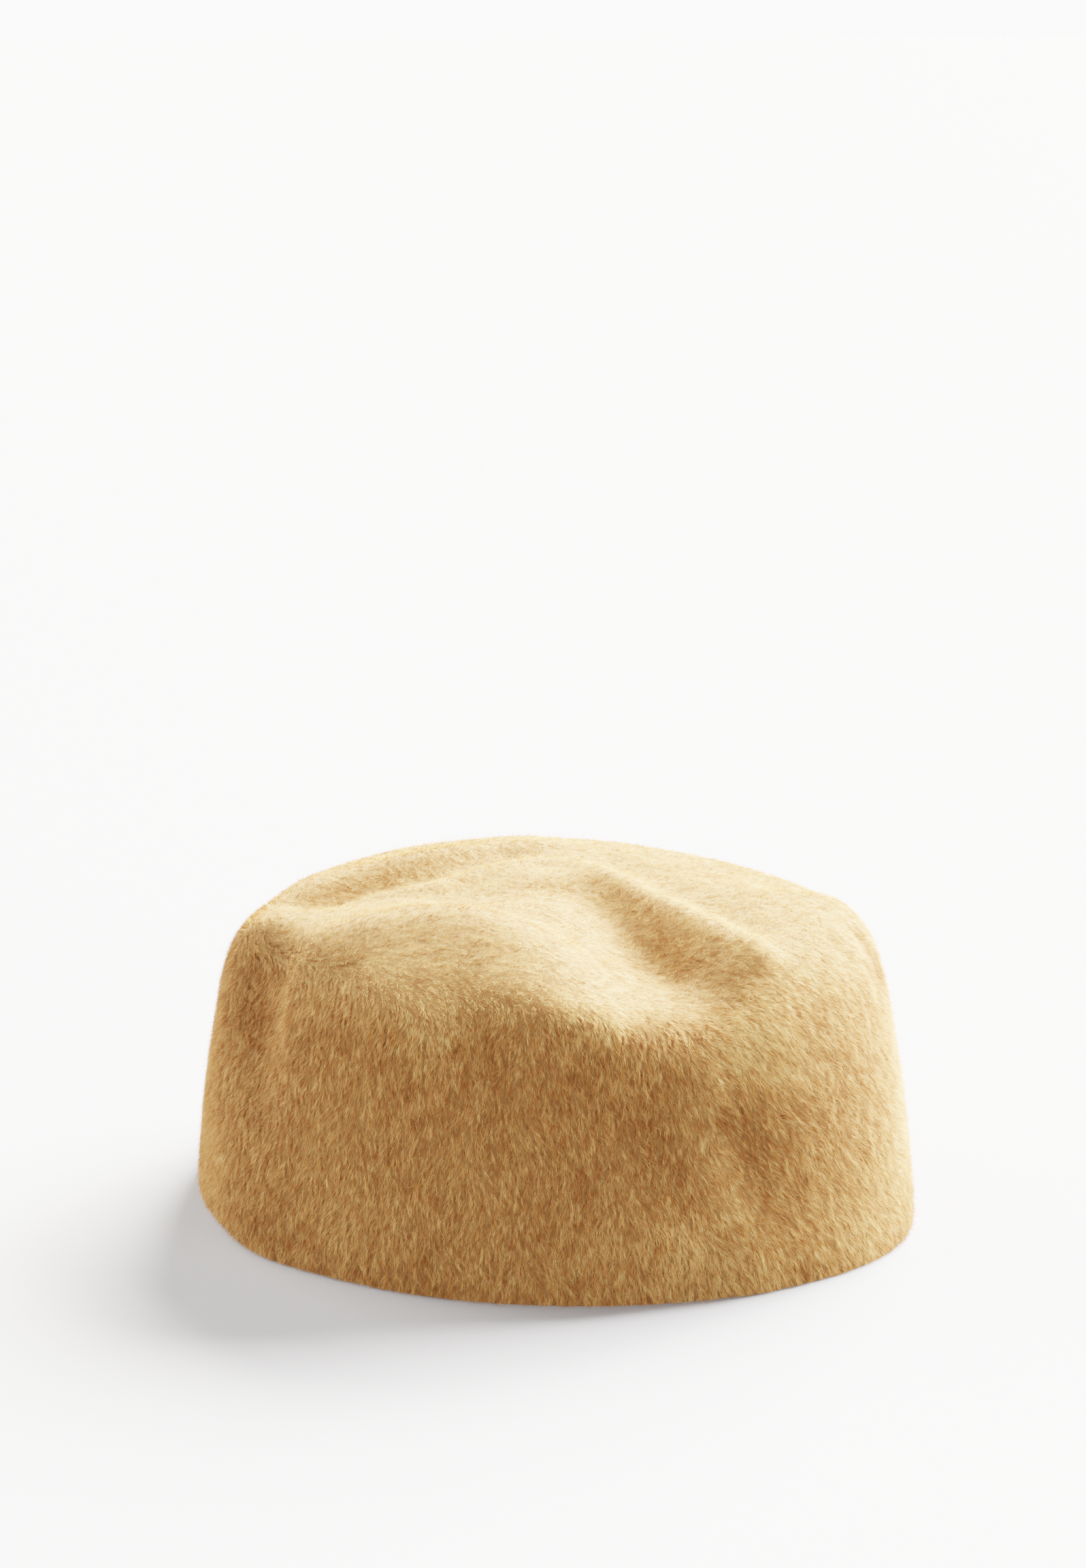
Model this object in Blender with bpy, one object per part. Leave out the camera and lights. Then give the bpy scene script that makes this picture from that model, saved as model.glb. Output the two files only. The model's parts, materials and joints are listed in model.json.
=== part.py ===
"""A soft round cap of camel-coloured wool felt with a short brushed pile, standing on its rim.

The cap is one hollow piece of felt, with no seam, lining or band. Seen from above it is a slightly
uneven oval. Its flank leans in towards a rounded shoulder, and its crown is slack, with hollows and
ridges pressed into it. It is modelled at rest on its rim: +Z is up, the wearer's head goes in from
below, and -Y is the side that faces a viewer who has the deepest hollow to the right of the middle.

Azimuths run from the front (-Y) over the right (+X) to the back (+Y). Lengths are in metres.
"""

import math

import bmesh
import bpy
import numpy as np
from mathutils import Vector

MM = 0.001

# Driving sizes
HEAD_ROUND = 575 * MM  # round the inside of the rim, a medium adult size
WALL = 3 * MM  # the felt with the root of its pile
RIM_RADIUS = HEAD_ROUND / (2 * math.pi) + WALL
CROWN_RADIUS = 0.885 * RIM_RADIUS  # where flank and crown would meet with no rounding
FLANK_HEIGHT = 76 * MM
CROWN_RISE = 3 * MM  # the middle of the crown above its edge
FLANK_BELLY = 1.5 * MM  # the flank's bow outwards, half-way up
SHOULDER_REACH = 17 * MM  # the rounding starts this far from the corner, on both sides
SHOULDER_FULLNESS = 0.62  # 0 would cut the corner off straight, and 1 would keep it sharp
RIM_ROUND = 0.8 * MM  # the rolled lower edge of the felt

# A place on the way from the rim, 0, to the middle of the crown, 1
FLANK_WAY = 0.4  # the flank ends here
CROWN_WAY = 0.6  # the crown begins here, past the shoulder
WAY_STEP = 0.001  # a small step along the way, for directions
END_STRETCH = 0.02  # the last share of the flank or the crown, whose direction the rounding takes up

# How the cap leaves the round, by azimuth. Each column is a share of its driving size.
OUTLINE_COLUMNS = ("azimuth_deg", "rim", "crown", "height")
OUTLINE = (
    (0, 0.950, 0.985, 1.005),
    (30, 0.995, 0.990, 1.010),
    (60, 1.040, 0.985, 1.030),
    (90, 0.955, 0.975, 1.040),
    (120, 0.950, 0.965, 0.980),
    (150, 0.970, 0.975, 0.985),
    (180, 1.000, 0.990, 1.005),
    (210, 1.020, 0.995, 1.010),
    (240, 1.025, 1.000, 0.990),
    (270, 0.995, 1.005, 0.980),
    (300, 0.955, 0.990, 1.000),
    (330, 0.945, 0.985, 1.010),
)

# Hollows (positive depth) and ridges (negative depth), with lengths in millimetres. The middle of
# each lies at an azimuth and a place on the way from the rim to the middle of the crown. Its long
# axis is turned from level, anticlockwise as seen from outside.
FOLD_COLUMNS = ("azimuth_deg", "way", "half_length", "half_width", "turn_deg", "depth")
FOLDS = {
    "main_hollow": (25, 0.69, 40, 19, -105, 10),
    "ridge_beside_hollow": (50, 0.73, 35, 8, -115, -4.5),
    "ridge_behind_hollow": (180, 0.90, 33, 10, 175, -2),
    "lip_before_hollow": (3, 0.47, 18, 8, 0, -4),
    "front_dome": (330, 0.69, 34, 17, 10, -9.5),
    "front_shoulder_swell": (332, 0.45, 19, 9, -25, -4.5),
    "front_right_shoulder_dip": (33, 0.55, 11, 11, 0, 4),
    "back_left_trough": (250, 0.71, 39, 7, 145, 4),
    "back_left_lip": (223, 0.73, 38, 11, 170, -6.5),
    "left_crown_ridge": (285, 0.71, 25, 7, 120, -1),
    "left_crown_dip": (293, 0.62, 8, 7, 20, 1.5),
    "left_shoulder_top": (276, 0.54, 14, 10, 170, -3.5),
    "left_shoulder_swell": (275, 0.44, 19, 8, -35, -1.5),
    "left_groove": (295, 0.41, 20, 12, -60, 6.5),
    "left_groove_end": (300, 0.45, 12, 7, -65, 1.5),
    "right_shoulder_crease": (70, 0.43, 10, 8, -90, 2),
    "right_back_notch": (106, 0.60, 8, 7, 15, 3),
    "right_flank_dent": (28, 0.25, 14, 8, -70, 3),
    "right_flank_foot": (30, 0.06, 13, 6, -70, -1.5),
    "front_flank_sag": (10, 0.28, 15, 13, -75, 2.5),
    "front_flank_swell": (14, 0.11, 14, 6, -25, -3.5),
    "left_flank_swell": (300, 0.11, 31, 16, -50, -4),
}

# Mesh density
CROWN_CELLS = 28  # the crown is a square grid of cells pressed into a disc
FLANK_RINGS = 10
SHOULDER_RINGS = 5

FELT_COLOUR = (0.47, 0.29, 0.13, 1.0)
FELT_ROUGHNESS = 0.95


def around(column):
    """The function of azimuth, in radians, that runs smoothly through one column of OUTLINE."""
    index = OUTLINE_COLUMNS.index(column)
    values = np.array([row[index] for row in OUTLINE])
    step = 2 * math.pi / len(OUTLINE)

    def at(azimuth):
        place = azimuth / step
        low = math.floor(place)
        t = place - low
        a, b, c, d = (values[(low + k) % len(values)] for k in (-1, 0, 1, 2))
        # A Catmull-Rom spline
        return b + 0.5 * t * (c - a + t * (2 * a - 5 * b + 4 * c - d + t * (3 * (b - c) + d - a)))

    return at


rim_share = around("rim")
crown_share = around("crown")
height_share = around("height")


def crown_height(azimuth, share):
    """The crown's height at a share of the way from its middle to its edge."""
    middle = FLANK_HEIGHT + CROWN_RISE
    edge = FLANK_HEIGHT * height_share(azimuth)
    return middle + (edge - middle) * share**2


def direction(azimuth):
    return Vector((math.sin(azimuth), -math.cos(azimuth), 0))


def profile_corner(azimuth):
    """(radius, height) of the corner that the shoulder rounds off."""
    return Vector((CROWN_RADIUS * crown_share(azimuth), FLANK_HEIGHT * height_share(azimuth)))


def profile_rim(azimuth):
    return Vector((RIM_RADIUS * rim_share(azimuth), RIM_ROUND))


def flank_point(azimuth, t):
    """A point of the flank, from the rim at t 0 to the start of the rounding at t 1."""
    foot, corner = profile_rim(azimuth), profile_corner(azimuth)
    end = corner + (foot - corner).normalized() * SHOULDER_REACH
    belly = FLANK_BELLY * 4 * t * (1 - t)
    return foot.lerp(end, t) + Vector((belly, 0))


def crown_point(azimuth, share):
    """A point of the crown, from its middle at share 0 to the end of the rounding at share 1."""
    corner = profile_corner(azimuth)
    radius = (corner.x - SHOULDER_REACH) * share
    return Vector((radius, crown_height(azimuth, radius / corner.x)))


def shoulder_point(azimuth, t):
    """A point of the rounding, from the flank at t 0 to the crown at t 1."""
    handle = SHOULDER_FULLNESS * SHOULDER_REACH
    start, end = flank_point(azimuth, 1), crown_point(azimuth, 1)
    along_flank = (start - flank_point(azimuth, 1 - END_STRETCH)).normalized()
    along_crown = (end - crown_point(azimuth, 1 - END_STRETCH)).normalized()
    a, b = start + along_flank * handle, end + along_crown * handle
    s = 1 - t
    return start * s**3 + a * (3 * s * s * t) + b * (3 * s * t * t) + end * t**3


def base_point(azimuth, way):
    """The cap's outside before it is folded, from the rim at way 0 to the middle of the crown at 1."""
    if way < FLANK_WAY:
        radius, height = flank_point(azimuth, way / FLANK_WAY)
    elif way < CROWN_WAY:
        radius, height = shoulder_point(azimuth, (way - FLANK_WAY) / (CROWN_WAY - FLANK_WAY))
    else:
        radius, height = crown_point(azimuth, (1 - way) / (1 - CROWN_WAY))
    return direction(azimuth) * radius + Vector((0, 0, height))


def placed_fold(row):
    """One row of FOLDS as its middle, its three directions and its sizes in metres."""
    fold = dict(zip(FOLD_COLUMNS, row))
    azimuth, way, turn = math.radians(fold["azimuth_deg"]), fold["way"], math.radians(fold["turn_deg"])
    upward = (base_point(azimuth, way + WAY_STEP) - base_point(azimuth, way - WAY_STEP)).normalized()
    level = Vector((math.cos(azimuth), math.sin(azimuth), 0))
    return {
        "middle": base_point(azimuth, way),
        "along": level * math.cos(turn) + upward * math.sin(turn),
        "across": upward * math.cos(turn) - level * math.sin(turn),
        "outward": level.cross(upward),
        "half_length": fold["half_length"] * MM,
        "half_width": fold["half_width"] * MM,
        "depth": fold["depth"] * MM,
    }


def folded(point, folds):
    """The point moved by every hollow and ridge near it."""
    moved = point.copy()
    for fold in folds:
        offset = point - fold["middle"]
        reach = (
            (offset.dot(fold["along"]) / fold["half_length"]) ** 2
            + (offset.dot(fold["across"]) / fold["half_width"]) ** 2
            + (offset.dot(fold["outward"]) / (2 * fold["half_width"])) ** 2
        )
        moved -= fold["outward"] * (fold["depth"] * math.exp(-reach))
    return moved


def disc_place(u, v):
    """A square's point, each of u and v from -1 to 1, on the unit disc as (azimuth, radius)."""
    x, y = u * math.sqrt(1 - v * v / 2), v * math.sqrt(1 - u * u / 2)
    return math.atan2(x, -y), min(1.0, math.hypot(x, y))


def add_crown(bm, folds):
    """The crown as a grid of quads. Returns its edge vertices round the cap, and their azimuths."""
    cells = CROWN_CELLS
    grid = {}
    for i in range(cells + 1):
        for j in range(cells + 1):
            azimuth, share = disc_place(2 * i / cells - 1, 2 * j / cells - 1)
            radius, height = crown_point(azimuth, share)
            place = direction(azimuth) * radius + Vector((0, 0, height))
            grid[i, j] = bm.verts.new(folded(place, folds))
    for i in range(cells):
        for j in range(cells):
            bm.faces.new((grid[i, j], grid[i + 1, j], grid[i + 1, j + 1], grid[i, j + 1]))
    side = range(cells)
    keys = [(i, 0) for i in side] + [(cells, j) for j in side]
    keys += [(cells - i, cells) for i in side] + [(0, cells - j) for j in side]
    azimuths = [disc_place(2 * i / cells - 1, 2 * j / cells - 1)[0] for i, j in keys]
    return [grid[key] for key in keys], azimuths


def add_ring(bm, above, places):
    """One more ring of vertices below the last, joined to it by quads."""
    ring = [bm.verts.new(place) for place in places]
    for k in range(len(ring)):
        after = (k + 1) % len(ring)
        bm.faces.new((above[k], ring[k], ring[after], above[after]))
    return ring


def add_outside(bm):
    """The cap's outer face down to the rim. Returns the lowest ring."""
    folds = [placed_fold(row) for row in FOLDS.values()]
    ring, azimuths = add_crown(bm, folds)
    ways = [CROWN_WAY - (CROWN_WAY - FLANK_WAY) * k / SHOULDER_RINGS for k in range(1, SHOULDER_RINGS + 1)]
    ways += [FLANK_WAY * (1 - k / FLANK_RINGS) for k in range(1, FLANK_RINGS + 1)]
    for way in ways:
        ring = add_ring(bm, ring, [folded(base_point(azimuth, way), folds) for azimuth in azimuths])
    for v in ring:
        v.co.z = RIM_ROUND
    return ring


def hollow_out(bm, outer_rim):
    """Adds the inner face a wall's thickness inside the outer one, and joins the two at the floor."""
    bm.normal_update()
    outer_faces = list(bm.faces)
    inner = {v: bm.verts.new(v.co - v.normal * WALL) for v in list(bm.verts)}
    for f in outer_faces:
        bm.faces.new([inner[v] for v in reversed(f.verts)])
    outer_foot, inner_foot, inner_rim = [], [], []
    for v in outer_rim:
        inward = Vector((-v.normal.x, -v.normal.y, 0)).normalized()
        down = Vector((0, 0, -RIM_ROUND))
        inner[v].co = v.co + inward * WALL
        inner_rim.append(inner[v])
        outer_foot.append(bm.verts.new(v.co + inward * RIM_ROUND + down))
        inner_foot.append(bm.verts.new(v.co + inward * (WALL - RIM_ROUND) + down))
    rings = (outer_rim, outer_foot, inner_foot, inner_rim)
    for ring, next_ring in zip(rings, rings[1:]):
        for k in range(len(ring)):
            after = (k + 1) % len(ring)
            bm.faces.new((ring[k], next_ring[k], next_ring[after], ring[after]))


def stand_on_origin(bm):
    """Moves the cap so that the origin is the middle of its floor box."""
    places = np.array([v.co for v in bm.verts])
    low, high = places.min(0), places.max(0)
    shift = Vector((-(low[0] + high[0]) / 2, -(low[1] + high[1]) / 2, -low[2]))
    bmesh.ops.translate(bm, verts=bm.verts, vec=shift)


def felt_material():
    material = bpy.data.materials.new("camel_felt")
    material.use_nodes = True
    shader = material.node_tree.nodes["Principled BSDF"]
    shader.inputs["Base Color"].default_value = FELT_COLOUR
    shader.inputs["Roughness"].default_value = FELT_ROUGHNESS
    shader.inputs["Metallic"].default_value = 0.0
    return material


def make_cap():
    bm = bmesh.new()
    hollow_out(bm, add_outside(bm))
    stand_on_origin(bm)
    bmesh.ops.recalc_face_normals(bm, faces=bm.faces)
    mesh = bpy.data.meshes.new("felt_cap")
    bm.to_mesh(mesh)
    bm.free()
    mesh.shade_smooth()
    mesh.materials.append(felt_material())
    cap = bpy.data.objects.new("felt_cap", mesh)
    bpy.context.scene.collection.objects.link(cap)
    return cap


def main():
    for old in list(bpy.data.objects):
        bpy.data.objects.remove(old)
    make_cap()


main()
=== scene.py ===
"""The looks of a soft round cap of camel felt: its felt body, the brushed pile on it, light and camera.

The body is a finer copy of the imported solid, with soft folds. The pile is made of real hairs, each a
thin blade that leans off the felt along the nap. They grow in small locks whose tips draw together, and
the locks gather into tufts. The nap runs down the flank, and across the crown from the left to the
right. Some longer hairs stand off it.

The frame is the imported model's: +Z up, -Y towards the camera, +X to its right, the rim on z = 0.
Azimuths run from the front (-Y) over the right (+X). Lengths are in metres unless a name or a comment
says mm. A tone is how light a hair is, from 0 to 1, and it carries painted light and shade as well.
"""

import json
import math

import bmesh
import bpy
import numpy as np
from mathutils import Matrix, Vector
from mathutils.kdtree import KDTree

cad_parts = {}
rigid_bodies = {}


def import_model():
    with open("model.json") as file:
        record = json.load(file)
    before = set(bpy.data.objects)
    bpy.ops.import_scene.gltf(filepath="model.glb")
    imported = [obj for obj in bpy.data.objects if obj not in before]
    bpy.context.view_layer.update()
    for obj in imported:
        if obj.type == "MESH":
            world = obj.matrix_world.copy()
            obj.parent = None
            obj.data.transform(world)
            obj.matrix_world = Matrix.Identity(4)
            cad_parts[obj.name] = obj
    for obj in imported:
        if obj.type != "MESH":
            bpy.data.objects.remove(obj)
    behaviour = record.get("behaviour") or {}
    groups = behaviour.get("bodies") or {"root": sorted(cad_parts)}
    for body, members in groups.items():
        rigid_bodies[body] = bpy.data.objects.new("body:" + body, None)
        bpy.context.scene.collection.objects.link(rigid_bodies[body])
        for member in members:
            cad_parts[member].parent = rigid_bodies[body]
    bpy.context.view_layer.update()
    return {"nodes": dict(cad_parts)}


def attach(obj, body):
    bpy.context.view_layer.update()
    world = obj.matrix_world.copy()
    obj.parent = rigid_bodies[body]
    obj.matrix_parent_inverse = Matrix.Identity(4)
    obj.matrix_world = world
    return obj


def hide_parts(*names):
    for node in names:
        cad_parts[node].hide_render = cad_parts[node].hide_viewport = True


MM = 0.001
SEED = 7
TINY = 1e-12  # keeps a length from being zero

# Camera: a narrow lens one metre from the rim's middle, looking down on it
IMAGE_SIZE = (1596, 2305)
RIM_CENTRE = (1.4 * MM, -1.6 * MM)
RIM_CENTRE_PX = (819, 1742)
FOCAL_PX = 5540
SENSOR_MM = 36
CAMERA_DISTANCE = 1.0
CAMERA_ELEVATION = math.radians(19)

# The flank turns into the crown round a circle of this radius and height. The turn is the angle of
# the line from that circle: level on the flank, and upright on the crown.
SHOULDER_RADIUS = 66 * MM
SHOULDER_HEIGHT = 60 * MM
FLANK_TURN = math.radians(12)
CROWN_TURN = math.radians(80)

# Which faces have the pile on them: those that face away from this point, but not the underside
INSIDE_POINT = Vector((0, 0, 30 * MM))
UNDERSIDE_SLOPE = -0.8

# The body's mesh
SAME_PLACE = 0.001 * MM  # corners closer than this are one
QUAD_BEND = math.radians(30)  # triangles that meet flatter than this may join into a quad
QUAD_SKEW = math.radians(60)  # and only if the quad's corners are no farther than this from square
FOOT_HEIGHT = 0.01 * MM  # what lies lower stands on the floor
SMOOTHING_ROUNDS = 5  # even out the crown before it is folded
SMOOTHING_STEP = 0.5

# Lines, in mm, along which the felt folds and the nap also carries painted light and shade
RIGHT_OF_RIDGE = ((19, 34, 78), (39, -8, 78), (50, -33, 78))
HOLLOW_LEFT_EDGE = ((-10, -10, 78), (5, -17, 76), (14, -46, 71))
RIGHT_CREASE = ((78, -18, 72), (84, -18, 60))
RIGHT_CREASE_LIP = ((72, -27, 75), (79, -33, 62))

# Soft folds of the felt: the line of places, the half width and the rise, in mm. Below 0 it is a dent.
FOLDS = {
    "ridge": (((-48, 0, 76), (-30, 4, 79), (-6, 28, 80), (6, 30, 79), (22, 2, 79), (52, -52, 77)), 4.5, 1.6),
    "under the ridge": (((-24, -9, 79), (-7, 6, 80), (8, 6, 79)), 6, -1.2),
    "right of the ridge": (RIGHT_OF_RIDGE, 6, -1.0),
    "hollow": (((13, -4, 77), (30, -48, 71)), 7, -2.0),
    "left edge of the hollow": (HOLLOW_LEFT_EDGE, 6, 0.8),
    "back trough": (((-63, 2, 76), (-46, 14, 79), (-30, 24, 81), (-14, 38, 81)), 8, -3.3),
    "back edge": (((-66, 26, 76), (-36, 54, 78), (-8, 62, 78)), 7, 1.0),
    "front lip": (((0, -85, 71), (12, -83, 69)), 6, 2.1),
    "dome lip": (((-48, -68, 69), (-28, -81, 63)), 6, 1.4),
    "left groove": (((-76, -24, 64), (-73, -46, 40)), 6, -1.5),
    "left groove lip": (((-66, -46, 66), (-64, -60, 44)), 6, 0.7),
    "right crease": (RIGHT_CREASE, 3.5, -1.4),
    "right crease lip": (RIGHT_CREASE_LIP, 4.5, 1.0),
    "front right swelling": (((44, -70, 66), (54, -66, 64)), 7, 0.8),
    "front right fold": (((37, -79, 54), (41, -81, 32)), 5, 0.8),
    "front right dent": (((27, -85, 50), (30, -86, 32)), 6, -0.7),
    "low right swelling": (((62, -74, 10), (50, -83, 12)), 8, 0.6),
}

# Painted light and shade on the nap: above 0, painted highlights on ridges, crests, lips and the right side;
# below 0, painted shade in hollows, troughs, grooves and creases. Each row is the line of places and its
# spread in mm, and the tone
PAINTED_LIGHT_AND_SHADE = {
    "ridge": (((-40, 7, 77), (-29, 8, 79), (-5, 31, 80), (8, 31, 79), (24, 4, 79), (54, -49, 77)), 4.5, 0.45),
    "under the ridge": (((-24, -9, 79), (-7, 5, 80), (8, 5, 79)), 6, -0.40),
    "right of the ridge": (RIGHT_OF_RIDGE, 6, -0.30),
    "hollow": (((20, -12, 76), (25, -36, 72), (34, -51, 72), (41, -57, 73)), 9, -0.55),
    "left edge of the hollow": (HOLLOW_LEFT_EDGE, 6, 0.15),
    "back trough": (((-64, 5, 76), (-52, 15, 78), (-38, 26, 81), (-22, 35, 82), (-9, 42, 81)), 9, -0.75),
    "dome crest": (((-50, -44, 82), (-18, -46, 87)), 10, -0.45),
    "left groove": (((-76, -25, 62), (-74, -36, 50), (-72, -50, 39)), 9, -0.40),
    "left groove lip": (((-64, -54, 59),), 8, -0.20),
    "left shoulder": (((-68, 6, 75),), 5, 0.45),
    "left outline": (((-79, 4, 70),), 8, -0.50),
    "beside the left groove": (((-79, -40, 43),), 8, 0.30),
    "below the dome": (((-52, -66, 66),), 7, -0.25),
    "left front": (((-57, -69, 48),), 18, -0.10),
    "left dome": (((-47, -64, 75),), 9, 0.60),
    "dome front": (((-31, -80, 67),), 9, 0.40),
    "front lip": (((6, -83, 72), (13, -80, 70)), 8, 0.60),
    "under the lip": (((21, -82, 66),), 5, -0.30),
    "below the lip": (((25, -83, 56),), 8, 0.25),
    "front dent": (((24, -85, 44),), 12, -0.18),
    "back crest": (((-4, 56, 79), (20, 52, 78), (40, 44, 77)), 11, 0.45),
    "right crest": (((56, 24, 76),), 14, 0.40),
    "right crest front": (((58, -48, 76),), 12, 0.50),
    "right shoulder": (((75, -14, 75), (68, -30, 76)), 9, 0.45),
    "right outline": (((88, -20, 45), (88, -35, 28)), 12, 0.40),
    "right front flank": (((62, -62, 42),), 16, -0.12),
    "right crease": (RIGHT_CREASE, 5, -0.40),
    "right crease lip": (RIGHT_CREASE_LIP, 5, 0.30),
    "front right shoulder": (((48, -70, 65),), 10, 0.60),
    "right front": (((58, -68, 53),), 8, 0.35),
    "streak": (((46, -74, 59), (37, -79, 50), (33, -82, 44), (43, -83, 22)), 5, 0.32),
    "front right dent": (((36, -81, 42),), 18, -0.15),
    "low right dent": (((56, -78, 18),), 8, -0.20),
    "low right": (((76, -63, 11),), 12, 0.45),
    "low right front": (((44, -84, 5), (56, -79, 5)), 10, 0.35),
    "low front": (((30, -90, 12),), 10, 0.40),
    "low middle": (((14, -92, 19),), 8, 0.20),
}

# The pile by zone. A rise is the angle between a hair and the felt. The tone is lighter on the crown than on
# the flank: partly a paler crown, partly painted light from above.
PILE_COLUMNS = ("length_mm", "rise_deg", "width_mm", "tone")
PILE = {
    "flank": (2.4, 21, 0.135, 0.43),
    "shoulder": (1.8, 32, 0.125, 0.52),
    "crown": (1.7, 24, 0.125, 0.62),
}

# Locks gather into tufts, which are long along the nap, with painted shade darkening the partings between
# them
TUFTS = 38000
TUFT_STRETCH = 4  # how many times as long as wide
TUFT_HALF_WIDTH = 0.33 * MM
TUFT_PINCH_DEG = 9  # how far the locks at a tuft's edge turn towards its middle
# Painted shade in the partings: how much darker a lock at a tuft's edge is
TUFT_EDGE_PAINTED_SHADE = 0.15  # how much darker a lock at a tuft's edge is
TUFT_EDGE_REACH = 1.5  # in half widths, the farthest that a lock counts as standing to the side
TUFTS_TRIED = 10  # the nearest tufts that a lock is tried in
LOCKS = 95000
HAIRS_IN_LOCK = 8
LOCK_LENGTH = 0.6 * MM  # how far a lock's roots are strewn along the nap
LOCK_WIDTH = 0.16 * MM
LOCK_PINCH = 0.5  # how far a lock's tips draw together
ROOT_DEPTH = 0.2 * MM
FLOOR_GAP = 0.15 * MM
LENGTH_RANGE = (0.7, 1.25)
WIDTH_RANGE = (0.7, 1.3)
HAIR_TAPER = 0.8  # the width at a hair's bend, as a share of its root's
FELT_SHARE = 0.4  # how much of the felt's own normal the hairs are shaded with

# How tufts, locks and hairs differ by chance
TONE_SPREADS = {"tuft": 0.1, "lock": 0.2, "hair": 0.22}
RISE_SPREADS_DEG = {"tuft": 5, "lock": 6, "hair": 8}
TURN_SPREADS_DEG = {"tuft": 7, "hair": 12}
ROLL_SPREAD_DEG = 25

# How the tone drifts over the cap, as a spread and a length in mm
BROAD_DRIFT = (0.04, 30)
FINE_DRIFT = (0.07, 5)
DRIFT_WAVES = 24
DRIFT_LENGTH_RANGE = (0.7, 1.5)  # the waves' lengths, as shares of the one asked for
# This also strengthens the painted shade in the partings on the crown
CROWN_FLECKS_AND_PARTING_SHADE = 2.6  # how much more the crown is flecked than the flank
# Painted shade: the pile darker towards the floor, fading over this height
PAINTED_RIM_SHADE = 0.15
PAINTED_RIM_SHADE_HEIGHT = 6 * MM

# Longer hairs that stand off the pile and bend over, half-way along
STRAY_HAIRS = 10000
STRAY_LENGTH = 3.6 * MM
STRAY_WIDTH = 0.075 * MM
STRAY_LENGTH_RANGE = (0.6, 1.3)
STRAY_TURN_SPREAD_DEG = 32
STRAY_RISE_DEG = (25, 70)
STRAY_BEND_DEG = (5, 40)
STRAY_TONE = 0.72
STRAY_TONE_SPREAD = 0.1

# The nap on the crown: x and y in mm, and the heading in degrees from the right (+X) towards the front
CROWN_NAP = (
    (-60, -10, 5),
    (-35, -45, 8),
    (0, 0, 6),
    (10, -60, 18),
    (60, -30, 40),
    (62, 30, 36),
    (-45, 48, 48),
    (10, 62, 30),
)
CROWN_NAP_BLEND = 5 * MM  # a larger one mixes the headings more
# The least turn of the nap between the flank and the crown, in degrees, anticlockwise from outside
LEAST_NAP_TURN = -150
# The nap on the flank: the azimuth, and how far it leans from straight down to the right as seen from
# outside, in degrees
FLANK_NAP = (
    (0, 5),
    (18, 7),
    (27, 24),
    (55, 27),
    (90, 22),
    (135, 14),
    (180, 8),
    (270, 4),
    (330, 7),
)
# The lean grows with the height between these two
NO_LEAN_HEIGHT = -25 * MM
FULL_LEAN_HEIGHT = 20 * MM
SWAY_DEG = 7
SWAY_LENGTHS_MM = (14, 4)

# A hair's place on its material: across for the tone, and up from root to tip
HAIR_UV = "OFBake"
TONE_RANGE = (0.01, 0.99)
HAIR_UV_HALF_WIDTH = 0.003
ROOT_UV = 0.02
BEND_UV = 0.45
TIP_UV = 0.98

# Colours of the hairs by tone, the painted shade that darkens them towards the root, and colours of the felt
# below them
HAIR_COLOURS = (
    (0.0, (0.30, 0.105, 0.03)),
    (0.5, (0.75, 0.345, 0.115)),
    (1.0, (0.97, 0.625, 0.25)),
)
PAINTED_SHADE_TOWARDS_ROOT = (
    (0.0, (0.36, 0.30, 0.24)),
    (0.35, (0.74, 0.70, 0.66)),
    (0.8, (1.0, 1.0, 1.0)),
)
FELT_COLOURS = (
    (0.25, (0.34, 0.15, 0.05)),
    (0.55, (0.56, 0.28, 0.10)),
    (0.85, (0.72, 0.42, 0.17)),
)
# Painted shade: the felt under the pile is a darker copy of the felt inside
UNDER_PILE_PAINTED_SHADE = 0.5
HAIR_TRANSLUCENCY = 0.3
ROOT_ROUGHNESS = 0.95
TIP_ROUGHNESS = 0.7
FELT_SHEEN_TINT = (1.0, 0.62, 0.3, 1)
BLOTCH_SHARE = 0.45  # of the felt's colour, beside the fibres
FIBRE_SHARE = 0.55
FIBRE_DEPTH = 0.4 * MM

# The sockets of a mix node that carry colours, which share their names with its others
MIX_FIRST_COLOUR = 6
MIX_SECOND_COLOUR = 7
MIX_RESULT_COLOUR = 2

# A plain pale floor, and a pale surround that shows above its far edge
FLOOR_SIZE = 24
FLOOR_COLOUR = (0.37, 0.365, 0.385, 1)
BACKDROP_RADIUS = 10
BACKDROP_COLOUR = (1.0, 0.98, 0.955, 1)
BACKDROP_LIGHT = 7.4

# Soft lights from far off: azimuth, elevation and breadth in degrees, strength and colour
LIGHTS = {
    "key": (125, 32, 35, 42.0, (1.0, 0.985, 0.93)),
    "back_right": (155, 32, 35, 50.0, (1.0, 0.975, 0.87)),
    "back_left": (230, 42, 45, 6.0, (1.0, 0.975, 0.87)),
    "left_back_low": (255, 16, 40, 2.5, (1.0, 0.99, 0.97)),
    "front_fill": (45, 14, 40, 4.2, (1.0, 0.98, 0.94)),
    "left_fill": (290, 14, 40, 3.4, (1.0, 0.98, 0.94)),
}
WORLD_COLOUR = (1.0, 0.98, 0.95, 1)
WORLD_STRENGTH = 0.12


def smooth(start, end, values):
    """0 up to the start, 1 from the end on, and an even S between them."""
    share = np.clip((values - start) / (end - start), 0, 1)
    return share * share * (3 - 2 * share)


def unit(vectors):
    return vectors / np.maximum(np.linalg.norm(vectors, axis=1), TINY)[:, None]


def tilted(first, second, angle):
    """Unit directions at an angle from the first towards the second, which stands square to it."""
    return first * np.cos(angle)[:, None] + second * np.sin(angle)[:, None]


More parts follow.
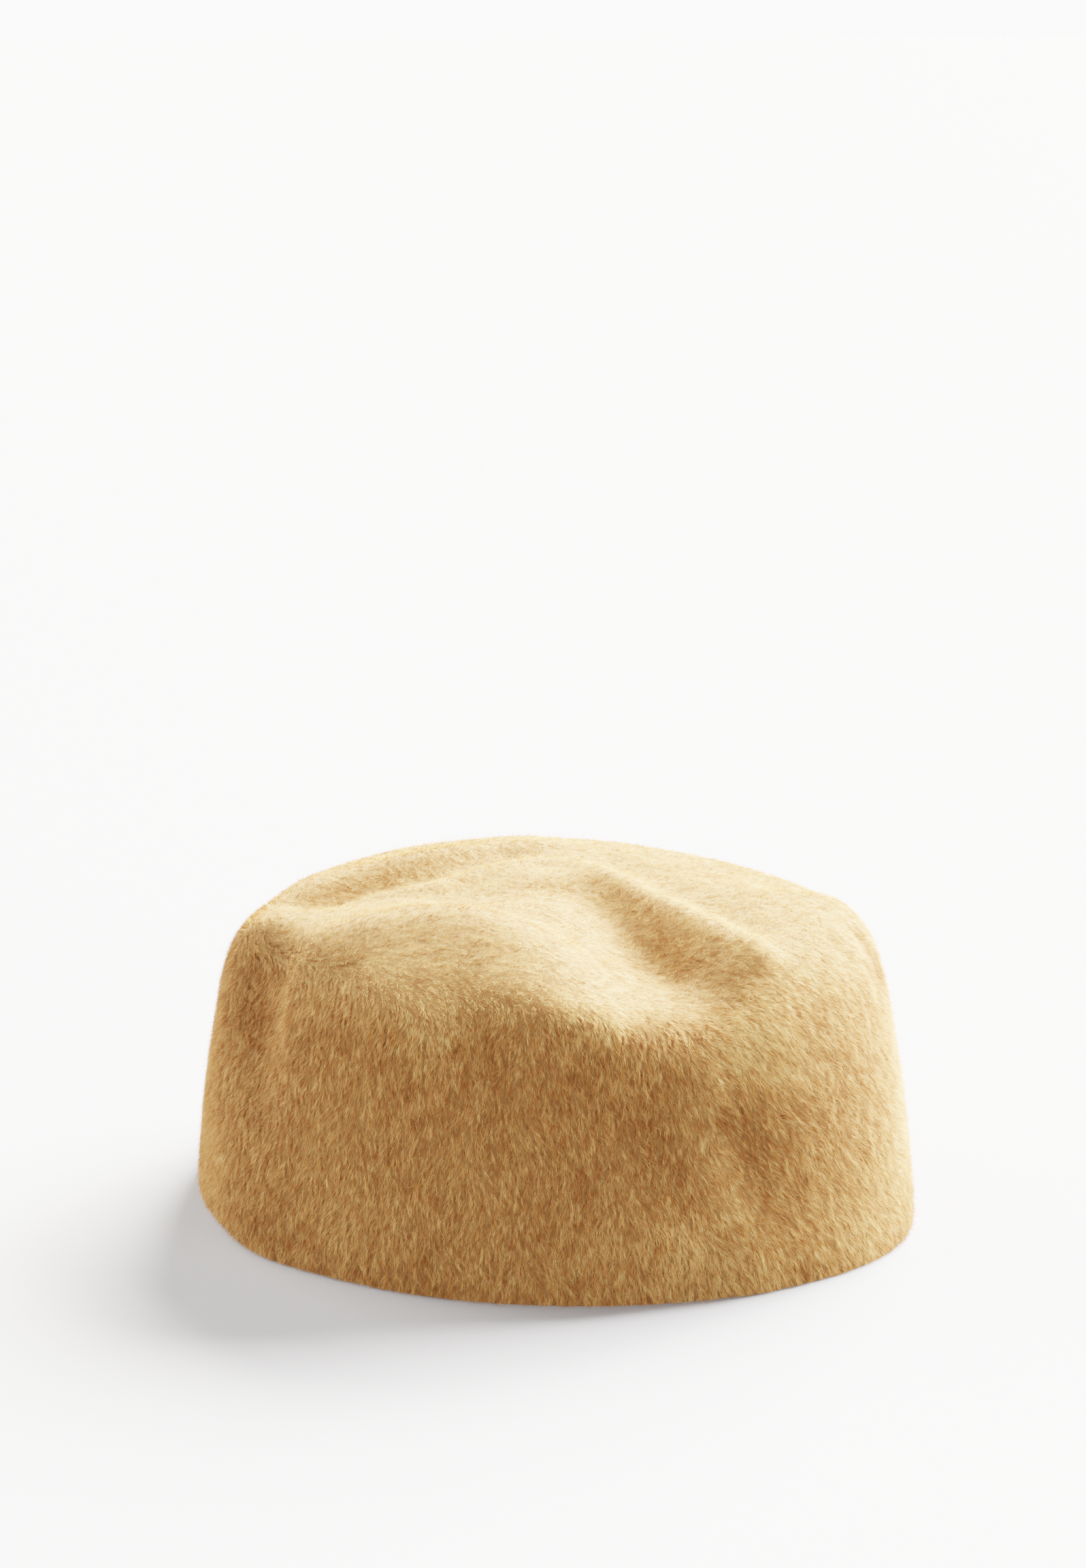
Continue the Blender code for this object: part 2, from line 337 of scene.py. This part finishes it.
def drift(points, length, rng):
    """Smooth noise over space with a mean of 0 and a spread of 1, made of plane waves."""
    directions = unit(rng.normal(size=(DRIFT_WAVES, 3)))
    lengths = length * rng.uniform(*DRIFT_LENGTH_RANGE, DRIFT_WAVES)
    phases = rng.uniform(0, 2 * math.pi, DRIFT_WAVES)
    turns = points @ (directions * (2 * math.pi / lengths)[:, None]).T + phases
    return np.cos(turns).sum(1) * math.sqrt(2 / DRIFT_WAVES)


def values_of(items, name, width):
    """A property of all items of a mesh, such as the places of its vertices, as items x width."""
    values = np.empty(len(items) * width, np.float32)
    items.foreach_get(name, values)
    return values.reshape(-1, width).astype(float)


def new_material(name):
    """A material with its node tree and its shader."""
    material = bpy.data.materials.new(name)
    material.use_nodes = True
    return material, material.node_tree, material.node_tree.nodes["Principled BSDF"]


def link(tree, source, target):
    tree.links.new(source, target)


def set_sockets(node, **values):
    """Sets sockets of a node by name, with underscores for spaces."""
    for name, value in values.items():
        node.inputs[name.replace("_", " ")].default_value = value


def add_node(tree, kind, **values):
    node = tree.nodes.new(kind)
    set_sockets(node, **values)
    return node


def ramp_node(tree, stops, shade=1.0):
    """A colour ramp through (position, colour) stops. A shade under 1 makes all colours darker, as painted
    shade.
    """
    node = tree.nodes.new("ShaderNodeValToRGB")
    elements = node.color_ramp.elements
    for element, (position, colour) in zip(elements, (stops[0], stops[-1])):
        element.position = position
        element.color = (*(part * shade for part in colour), 1)
    for position, colour in stops[1:-1]:
        element = elements.new(position)
        element.color = (*(part * shade for part in colour), 1)
    return node


def set_felt_finish(shader):
    """What is the same all over every felt surface and hair."""
    set_sockets(
        shader, Specular_IOR_Level=0.06, Sheen_Weight=0.3, Sheen_Roughness=0.45, Sheen_Tint=FELT_SHEEN_TINT
    )


def pile_material():
    """Hairs coloured by their tone, u, which holds painted light and shade as well, and from root to tip, v,
    darker at the root by painted shade.
    """
    material, tree, shader = new_material("camel_pile")
    set_felt_finish(shader)
    place = tree.nodes.new("ShaderNodeUVMap")
    place.uv_map = HAIR_UV
    split = tree.nodes.new("ShaderNodeSeparateXYZ")
    tone = ramp_node(tree, HAIR_COLOURS)
    # Painted shade: darker towards the root, deep in the pile
    along = ramp_node(tree, PAINTED_SHADE_TOWARDS_ROOT)
    colour = tree.nodes.new("ShaderNodeMix")
    colour.data_type = "RGBA"
    colour.blend_type = "MULTIPLY"
    colour.inputs["Factor"].default_value = 1.0
    roughness = add_node(tree, "ShaderNodeMapRange", To_Min=ROOT_ROUGHNESS, To_Max=TIP_ROUGHNESS)
    link(tree, place.outputs["UV"], split.inputs["Vector"])
    link(tree, split.outputs["X"], tone.inputs["Fac"])
    link(tree, split.outputs["Y"], along.inputs["Fac"])
    link(tree, tone.outputs["Color"], colour.inputs[MIX_FIRST_COLOUR])
    link(tree, along.outputs["Color"], colour.inputs[MIX_SECOND_COLOUR])
    link(tree, colour.outputs[MIX_RESULT_COLOUR], shader.inputs["Base Color"])
    link(tree, split.outputs["Y"], roughness.inputs["Value"])
    link(tree, roughness.outputs["Result"], shader.inputs["Roughness"])
    through = tree.nodes.new("ShaderNodeBsdfTranslucent")
    link(tree, colour.outputs[MIX_RESULT_COLOUR], through.inputs["Color"])
    blend = add_node(tree, "ShaderNodeMixShader", Fac=HAIR_TRANSLUCENCY)
    link(tree, shader.outputs["BSDF"], blend.inputs[1])
    link(tree, through.outputs["BSDF"], blend.inputs[2])
    link(tree, blend.outputs["Shader"], tree.nodes["Material Output"].inputs["Surface"])
    return material


def felt_material(name, shade):
    """The felt's own matted fibres with soft blotches. A shade under 1 is darker: painted shade."""
    material, tree, shader = new_material(name)
    set_felt_finish(shader)
    place = tree.nodes.new("ShaderNodeTexCoord")
    blotches = add_node(tree, "ShaderNodeTexNoise", Scale=45.0, Detail=4.0, Roughness=0.6)
    fibres = add_node(tree, "ShaderNodeTexNoise", Scale=900.0, Detail=5.0, Roughness=0.65, Distortion=1.2)
    blotch_part = tree.nodes.new("ShaderNodeMath")
    blotch_part.operation = "MULTIPLY"
    blotch_part.inputs[1].default_value = BLOTCH_SHARE
    both = tree.nodes.new("ShaderNodeMath")
    both.operation = "MULTIPLY_ADD"
    both.inputs[1].default_value = FIBRE_SHARE
    colour = ramp_node(tree, FELT_COLOURS, shade)
    roughness = add_node(tree, "ShaderNodeMapRange", To_Min=0.85, To_Max=1.0)
    bump = add_node(tree, "ShaderNodeBump", Strength=0.6, Distance=FIBRE_DEPTH)
    link(tree, place.outputs["Object"], blotches.inputs["Vector"])
    link(tree, place.outputs["Object"], fibres.inputs["Vector"])
    link(tree, blotches.outputs["Fac"], blotch_part.inputs[0])
    link(tree, fibres.outputs["Fac"], both.inputs[0])
    link(tree, blotch_part.outputs[0], both.inputs[2])
    link(tree, both.outputs[0], colour.inputs["Fac"])
    link(tree, colour.outputs["Color"], shader.inputs["Base Color"])
    link(tree, fibres.outputs["Fac"], roughness.inputs["Value"])
    link(tree, roughness.outputs["Result"], shader.inputs["Roughness"])
    link(tree, fibres.outputs["Fac"], bump.inputs["Height"])
    link(tree, bump.outputs["Normal"], shader.inputs["Normal"])
    return material


def climb_of(points):
    """How far each point is from the flank, 0, over the shoulder to the crown, 1."""
    radius = np.hypot(points[:, 0], points[:, 1])
    turn = np.arctan2(points[:, 2] - SHOULDER_HEIGHT, radius - SHOULDER_RADIUS)
    return smooth(FLANK_TURN, CROWN_TURN, turn)


def azimuth_of(points):
    return np.arctan2(points[:, 0], -points[:, 1])


def nearness(points, places_mm, spread_mm):
    """1 on the line through the places, or at the one place, and less with the distance from it."""
    places = np.array(places_mm) * MM
    gap = np.linalg.norm(points - places[0], axis=1)
    for start, end in zip(places, places[1:]):
        run = end - start
        share = np.clip((points - start) @ run / (run @ run), 0, 1)
        gap = np.minimum(gap, np.linalg.norm(points - start - share[:, None] * run, axis=1))
    return np.exp(-((gap / (spread_mm * MM)) ** 2))


def make_finer(body):
    """Splits every face in four and rounds the body, all but the flat of its foot."""
    mesh = body.data
    height = values_of(mesh.vertices, "co", 3)[:, 2]
    ends = np.empty(len(mesh.edges) * 2, np.int32)
    mesh.edges.foreach_get("vertices", ends)
    in_foot = height[ends.reshape(-1, 2)].max(1) < FOOT_HEIGHT
    crease = mesh.attributes.get("crease_edge") or mesh.attributes.new("crease_edge", "FLOAT", "EDGE")
    crease.data.foreach_set("value", in_foot.astype(np.float32))
    finer = body.modifiers.new("finer", "SUBSURF")
    finer.levels = finer.render_levels = 1
    graph = bpy.context.evaluated_depsgraph_get()
    body.data = bpy.data.meshes.new_from_object(body.evaluated_get(graph))
    body.modifiers.clear()
    body.data.name = "felt_body"


def even_out(mesh):
    """Smooths the crown, whose folds would bring out the solid's facets."""
    bm = bmesh.new()
    bm.from_mesh(mesh)
    high = [vertex for vertex in bm.verts if vertex.co.z > SHOULDER_HEIGHT]
    for _ in range(SMOOTHING_ROUNDS):
        bmesh.ops.smooth_vert(
            bm, verts=high, factor=SMOOTHING_STEP, use_axis_x=True, use_axis_y=True, use_axis_z=True
        )
    bm.to_mesh(mesh)
    bm.free()


def fold(mesh):
    """Moves the felt outwards or inwards along each fold."""
    points = values_of(mesh.vertices, "co", 3)
    climb = climb_of(points)[:, None]
    level = unit(points * (1, 1, 0))
    outwards = unit(level * (1 - climb) + np.array((0, 0, 1)) * climb)
    rise = np.zeros(len(points))
    for places, half_width, height in FOLDS.values():
        rise += height * MM * nearness(points, places, half_width)
    points += outwards * rise[:, None]
    mesh.vertices.foreach_set("co", points.astype(np.float32).ravel())
    mesh.update()


def has_pile(face):
    """True for a face on the side of the wall that the pile grows on."""
    return (face.center - INSIDE_POINT).dot(face.normal) > 0 and face.normal.z > UNDERSIDE_SLOPE


def make_body(node):
    """The felt itself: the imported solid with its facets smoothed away, its foot kept flat and its folds."""
    bm = bmesh.new()
    bm.from_mesh(node.data)
    bmesh.ops.remove_doubles(bm, verts=bm.verts, dist=SAME_PLACE)
    bmesh.ops.join_triangles(
        bm, faces=bm.faces, angle_face_threshold=QUAD_BEND, angle_shape_threshold=QUAD_SKEW
    )
    mesh = bpy.data.meshes.new("felt_body")
    bm.to_mesh(mesh)
    bm.free()
    body = bpy.data.objects.new("felt_body", mesh)
    bpy.context.scene.collection.objects.link(body)
    make_finer(body)
    even_out(body.data)
    make_finer(body)
    fold(body.data)
    body.data.shade_smooth()
    body.data.materials.clear()
    body.data.materials.append(felt_material("camel_felt_inside", 1.0))
    # Painted shade: the felt under the pile gets a darker copy of the same material
    body.data.materials.append(felt_material("camel_felt_painted_shade_under_pile", UNDER_PILE_PAINTED_SHADE))
    for face in body.data.polygons:
        face.material_index = int(has_pile(face))
    return body


def piled_triangles(body):
    """The corners of the body's triangles that have pile, and their normals, each triangles x 3 x 3."""
    mesh = body.data
    mesh.calc_loop_triangles()
    piled = np.array([mesh.polygons[part.polygon_index].material_index == 1 for part in mesh.loop_triangles])
    places = values_of(mesh.vertices, "co", 3)
    normals = values_of(mesh.vertex_normals, "vector", 3)
    corners = np.empty(len(mesh.loop_triangles) * 3, np.int32)
    mesh.loop_triangles.foreach_get("vertices", corners)
    return places[corners].reshape(-1, 3, 3)[piled], normals[corners].reshape(-1, 3, 3)[piled]


def scatter(triangles, count, rng):
    """Points spread evenly over the triangles, with the normal at each."""
    places, normals = triangles
    areas = np.linalg.norm(np.cross(places[:, 1] - places[:, 0], places[:, 2] - places[:, 0]), axis=1)
    reached = np.cumsum(areas) / areas.sum()
    picked = np.searchsorted(reached, (np.arange(count) + rng.random(count)) / count)
    picked = np.minimum(picked, len(areas) - 1)
    second, third = rng.random((2, count))
    over = second + third > 1
    second[over], third[over] = 1 - second[over], 1 - third[over]
    shares = np.stack((1 - second - third, second, third), 1)[:, :, None]
    return (places[picked] * shares).sum(1), unit((normals[picked] * shares).sum(1))


def painted_light_and_shade_at(points):
    """The painted light and shade on the nap at each point: how much lighter it is, below 0 darker."""
    tone = np.zeros(len(points))
    for places, spread, painted_change in PAINTED_LIGHT_AND_SHADE.values():
        tone += painted_change * nearness(points, places, spread)
    return tone


def by_zone(column, climb):
    """One column of PILE, run smoothly from the flank over the shoulder to the crown."""
    index = PILE_COLUMNS.index(column)
    flank, shoulder, crown = (PILE[zone][index] for zone in ("flank", "shoulder", "crown"))
    return flank * (1 - climb) ** 2 + shoulder * 2 * climb * (1 - climb) + crown * climb**2


def nap_direction(points, normals, climb, rng):
    """The way the pile is brushed at each point, along the surface."""
    azimuth = azimuth_of(points)
    level = np.stack((np.cos(azimuth), np.sin(azimuth), np.zeros(len(azimuth))), 1)
    flank_rows = np.array(FLANK_NAP, float)
    lean = np.interp(np.degrees(azimuth), flank_rows[:, 0], flank_rows[:, 1], period=360)
    lean = np.radians(lean) * smooth(NO_LEAN_HEIGHT, FULL_LEAN_HEIGHT, points[:, 2])
    on_flank = level * np.sin(lean)[:, None] - np.outer(np.cos(lean), (0, 0, 1))
    crown_rows = np.array(CROWN_NAP, float)
    gaps = np.linalg.norm(points[:, None, :2] - crown_rows[None, :, :2] * MM, axis=2)
    weights = 1 / (gaps + CROWN_NAP_BLEND) ** 2
    heading = np.radians((weights * crown_rows[:, 2]).sum(1) / weights.sum(1))
    on_crown = np.stack((np.cos(heading), -np.sin(heading), np.zeros(len(heading))), 1)
    # Over the shoulder the nap turns from one way to the other, by the front on the left side
    start = unit(on_flank - normals * (on_flank * normals).sum(1)[:, None])
    beside = np.cross(normals, start)
    turn = np.degrees(np.arctan2((on_crown * beside).sum(1), (on_crown * start).sum(1)))
    turn = np.radians((turn - LEAST_NAP_TURN) % 360 + LEAST_NAP_TURN) * climb
    along = tilted(start, beside, turn)
    sway = np.radians(sum(SWAY_DEG * drift(points, length * MM, rng) for length in SWAY_LENGTHS_MM))
    return tilted(along, np.cross(normals, along), sway)


def mesh_of_hairs(name, rows, widths, tones, sides, felt_normals):
    """A mesh of hairs.

    rows is hairs x points x 3, from root to tip. A hair of two points is one triangle, and one of
    three points has a quad below it. sides are the directions of the widths.
    """
    count, length = rows.shape[:2]
    below = length - 1
    taper = np.array((1, HAIR_TAPER))[:below]
    half = (sides * (widths / 2)[:, None])[:, None, :] * taper[None, :, None]
    places = np.empty((count, below * 2 + 1, 3))
    places[:, 0:-1:2] = rows[:, :-1] - half
    places[:, 1:-1:2] = rows[:, :-1] + half
    places[:, -1] = rows[:, -1]
    # The corners of a hair's faces, and where each face starts among them
    order = np.array((0, 1, 2) if below == 1 else (0, 1, 3, 2, 2, 3, 4))
    starts = np.array((0,) if below == 1 else (0, 4))
    per_hair = below * 2 + 1
    mesh = bpy.data.meshes.new(name)
    mesh.vertices.add(count * per_hair)
    mesh.vertices.foreach_set("co", places.astype(np.float32).ravel())
    corners = (np.arange(count) * per_hair)[:, None] + order
    mesh.loops.add(corners.size)
    mesh.loops.foreach_set("vertex_index", corners.astype(np.int32).ravel())
    first = (np.arange(count) * len(order))[:, None] + starts
    mesh.polygons.add(first.size)
    mesh.polygons.foreach_set("loop_start", first.astype(np.int32).ravel())
    mesh.update(calc_edges=True)
    mesh.shade_smooth()
    own = unit(np.cross(sides, rows[:, -1] - rows[:, 0]))
    own *= np.sign((own * felt_normals).sum(1))[:, None]
    shading = unit(own * (1 - FELT_SHARE) + felt_normals * FELT_SHARE)
    normals = mesh.attributes.new("custom_normal", "FLOAT_VECTOR", "POINT")
    normals.data.foreach_set("vector", np.repeat(shading, per_hair, 0).astype(np.float32).ravel())
    u_at = np.append(np.tile((-HAIR_UV_HALF_WIDTH, HAIR_UV_HALF_WIDTH), below), 0)
    v_at = np.append(np.repeat((ROOT_UV, BEND_UV)[:below], 2), TIP_UV)
    uv = np.empty((count, len(order), 2))
    uv[:, :, 0] = np.clip(tones, *TONE_RANGE)[:, None] + u_at[order]
    uv[:, :, 1] = v_at[order]
    mesh.uv_layers.new(name=HAIR_UV, do_init=False).uv.foreach_set("vector", uv.astype(np.float32).ravel())
    return mesh


def add_hairs(name, rows, widths, tones, sides, felt_normals, material):
    """A piece of hairs, none of which reaches into the floor."""
    rows[:, :, 2] = np.maximum(rows[:, :, 2], FLOOR_GAP)
    mesh = mesh_of_hairs(name, rows, widths, tones, sides, felt_normals)
    mesh.materials.append(material)
    piece = bpy.data.objects.new(name, mesh)
    bpy.context.scene.collection.objects.link(piece)
    return piece


def gather_tufts(triangles, roots, along, across, rng):
    """The tuft that each lock belongs to, and how far to the side of its middle line the lock stands."""
    middles = scatter(triangles, TUFTS, rng)[0]
    tree = KDTree(TUFTS)
    for index, middle in enumerate(middles):
        tree.insert(middle, index)
    tree.balance()
    near = np.array([[found[1] for found in tree.find_n(root, TUFTS_TRIED)] for root in roots])
    gaps = roots[:, None] - middles[near]
    forward = (gaps * along[:, None]).sum(2)
    sideways = (gaps * across[:, None]).sum(2)
    best = np.hypot(forward / TUFT_STRETCH, sideways).argmin(1)
    each = np.arange(len(roots))
    beside = np.clip(sideways[each, best] / TUFT_HALF_WIDTH, -TUFT_EDGE_REACH, TUFT_EDGE_REACH)
    return near[each, best], beside


def pile_groups(roots, climb):
    """Which locks go into each piece of the pile, by zone and side."""
    quarter = ((np.degrees(azimuth_of(roots)) % 360 + 45) // 90).astype(int) % 4
    on_crown = climb > 0.5
    groups = {
        "pile_crown_left": on_crown & (roots[:, 0] < 0),
        "pile_crown_right": on_crown & (roots[:, 0] >= 0),
    }
    for number, side in enumerate(("front", "right", "back", "left")):
        groups[f"pile_flank_{side}"] = ~on_crown & (quarter == number)
    return groups


def make_pile(triangles, material, rng):
    """The pile in its pieces. The hairs of a lock start close together and point alike."""
    roots, normals = scatter(triangles, LOCKS, rng)
    climb = climb_of(roots)
    along = nap_direction(roots, normals, climb, rng)
    across = np.cross(normals, along)
    tuft, beside = gather_tufts(triangles, roots, along, across, rng)
    # Painted light and shade: the crown lighter than the flank, lighter ridges, crests and lips, darker
    # hollows and troughs
    tone = by_zone("tone", climb) + painted_light_and_shade_at(roots)
    # Painted shade: darker towards the floor
    tone -= PAINTED_RIM_SHADE * np.exp(-roots[:, 2] / PAINTED_RIM_SHADE_HEIGHT)
    tone += BROAD_DRIFT[0] * drift(roots, BROAD_DRIFT[1] * MM, rng)
    # Random flecks, and painted shade in the partings at the tufts' edges
    flecks_and_parting_shade = FINE_DRIFT[0] * drift(roots, FINE_DRIFT[1] * MM, rng) - TUFT_EDGE_PAINTED_SHADE * beside**2
    flecks_and_parting_shade += rng.normal(0, TONE_SPREADS["tuft"], TUFTS)[tuft] + rng.normal(0, TONE_SPREADS["lock"], LOCKS)
    tone += flecks_and_parting_shade * (1 + CROWN_FLECKS_AND_PARTING_SHADE * climb)
    rise = by_zone("rise_deg", climb) + rng.normal(0, RISE_SPREADS_DEG["tuft"], TUFTS)[tuft]
    rise += rng.normal(0, RISE_SPREADS_DEG["lock"], LOCKS)
    pinch = np.radians(rng.normal(0, TURN_SPREADS_DEG["tuft"], TUFTS)[tuft] - TUFT_PINCH_DEG * beside)
    pieces = []
    for name, chosen in pile_groups(roots, climb).items():
        lock = np.repeat(np.flatnonzero(chosen), HAIRS_IN_LOCK)
        count = len(lock)
        out, ahead, aside = normals[lock], along[lock], across[lock]
        sideways = rng.normal(0, LOCK_WIDTH, count)
        forward = rng.normal(0, LOCK_LENGTH, count)
        root = roots[lock] + ahead * forward[:, None] + aside * sideways[:, None] - out * ROOT_DEPTH
        turn = pinch[lock] + np.radians(rng.normal(0, TURN_SPREADS_DEG["hair"], count))
        straight = tilted(ahead, aside, turn)
        up = np.radians(rise[lock] + rng.normal(0, RISE_SPREADS_DEG["hair"], count))
        length = by_zone("length_mm", climb[lock]) * MM * rng.uniform(*LENGTH_RANGE, count)
        tip = root + length[:, None] * tilted(straight, out, up)
        tip -= aside * (sideways * LOCK_PINCH)[:, None]
        roll = np.radians(rng.normal(0, ROLL_SPREAD_DEG, count))
        sides = tilted(np.cross(straight, out), out, roll)
        widths = by_zone("width_mm", climb[lock]) * MM * rng.uniform(*WIDTH_RANGE, count)
        tones = tone[lock] + rng.normal(0, TONE_SPREADS["hair"], count)
        pieces.append(add_hairs(name, np.stack((root, tip), 1), widths, tones, sides, out, material))
    return pieces


def make_stray_hairs(triangles, material, rng):
    """Longer, lighter hairs that rise off the pile and bend over."""
    root, out = scatter(triangles, STRAY_HAIRS, rng)
    ahead = nap_direction(root, out, climb_of(root), rng)
    turn = np.radians(rng.normal(0, STRAY_TURN_SPREAD_DEG, STRAY_HAIRS))
    straight = tilted(ahead, np.cross(out, ahead), turn)
    up = np.radians(rng.uniform(*STRAY_RISE_DEG, STRAY_HAIRS))
    over = up - np.radians(rng.uniform(*STRAY_BEND_DEG, STRAY_HAIRS))
    half = STRAY_LENGTH * rng.uniform(*STRAY_LENGTH_RANGE, STRAY_HAIRS) / 2
    bend = root + half[:, None] * tilted(straight, out, up)
    tip = bend + half[:, None] * tilted(straight, out, over)
    widths = STRAY_WIDTH * rng.uniform(*WIDTH_RANGE, STRAY_HAIRS)
    tones = STRAY_TONE + rng.normal(0, STRAY_TONE_SPREAD, STRAY_HAIRS)
    rows = np.stack((root, bend, tip), 1)
    return add_hairs("stray_hairs", rows, widths, tones, np.cross(straight, out), out, material)


def make_floor():
    bpy.ops.mesh.primitive_plane_add(size=FLOOR_SIZE, location=(0, 0, 0))
    floor = bpy.context.object
    floor.name = "floor"
    floor.visible_diffuse = False  # the low fill lights stand in for what it would throw on the cap
    material, _, shader = new_material("pale_floor")
    set_sockets(shader, Base_Color=FLOOR_COLOUR, Roughness=0.8, Specular_IOR_Level=0.1)
    floor.data.materials.append(material)


def make_backdrop():
    """A pale surround behind the floor's far edge. It is only seen, and neither lights nor shades."""
    bpy.ops.mesh.primitive_uv_sphere_add(segments=64, ring_count=32, radius=BACKDROP_RADIUS)
    backdrop = bpy.context.object
    backdrop.name = "backdrop"
    backdrop.visible_diffuse = False
    backdrop.visible_glossy = False
    backdrop.visible_transmission = False
    backdrop.visible_shadow = False
    material, _, shader = new_material("pale_backdrop")
    set_sockets(shader, Base_Color=(0, 0, 0, 1), Specular_IOR_Level=0)
    set_sockets(shader, Emission_Color=BACKDROP_COLOUR, Emission_Strength=BACKDROP_LIGHT)
    backdrop.data.materials.append(material)


def make_light(name, azimuth, elevation, breadth, strength, colour):
    """A light at an azimuth and an elevation above the floor, aimed at the cap."""
    data = bpy.data.lights.new(name, "SUN")
    data.angle = math.radians(breadth)
    data.energy = strength
    data.color = colour
    lamp = bpy.data.objects.new(name, data)
    turn, lift = math.radians(azimuth), math.radians(elevation)
    lamp.location = (math.sin(turn) * math.cos(lift), -math.cos(turn) * math.cos(lift), math.sin(lift))
    lamp.rotation_euler = lamp.location.to_track_quat("Z", "Y").to_euler()
    bpy.context.scene.collection.objects.link(lamp)


def make_lighting():
    for name, row in LIGHTS.items():
        make_light(name, *row)
    world = bpy.data.worlds.new("studio")
    world.use_nodes = True
    set_sockets(world.node_tree.nodes["Background"], Color=WORLD_COLOUR, Strength=WORLD_STRENGTH)
    bpy.context.scene.world = world
    bpy.context.scene.view_settings.view_transform = "Filmic"
    bpy.context.scene.cycles.denoising_prefilter = "NONE"  # keeps fine hairs


def make_camera():
    """The camera sees the rim's middle at its pixel in the photograph's frame."""
    width, height = IMAGE_SIZE
    right = math.atan((RIM_CENTRE_PX[0] - width / 2) / FOCAL_PX)
    below = math.atan((RIM_CENTRE_PX[1] - height / 2) / FOCAL_PX)
    data = bpy.data.cameras.new("camera")
    data.sensor_width = SENSOR_MM
    data.lens = FOCAL_PX / height * SENSOR_MM
    camera = bpy.data.objects.new("camera", data)
    camera.location = (
        RIM_CENTRE[0] - CAMERA_DISTANCE * math.sin(right),
        RIM_CENTRE[1] - CAMERA_DISTANCE * math.cos(CAMERA_ELEVATION),
        CAMERA_DISTANCE * math.sin(CAMERA_ELEVATION),
    )
    camera.rotation_euler = (math.pi / 2 - (CAMERA_ELEVATION - below), 0, 0)
    bpy.context.scene.collection.objects.link(camera)
    bpy.context.scene.camera = camera


def main():
    for old in list(bpy.data.objects):
        bpy.data.objects.remove(old)
    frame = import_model()
    rng = np.random.default_rng(SEED)
    make_camera()
    make_lighting()
    make_floor()
    make_backdrop()
    body = make_body(frame["nodes"]["felt_cap"])
    triangles = piled_triangles(body)
    hair = pile_material()
    pieces = [body, *make_pile(triangles, hair, rng), make_stray_hairs(triangles, hair, rng)]
    for piece in pieces:
        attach(piece, "root")
    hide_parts("felt_cap")


main()
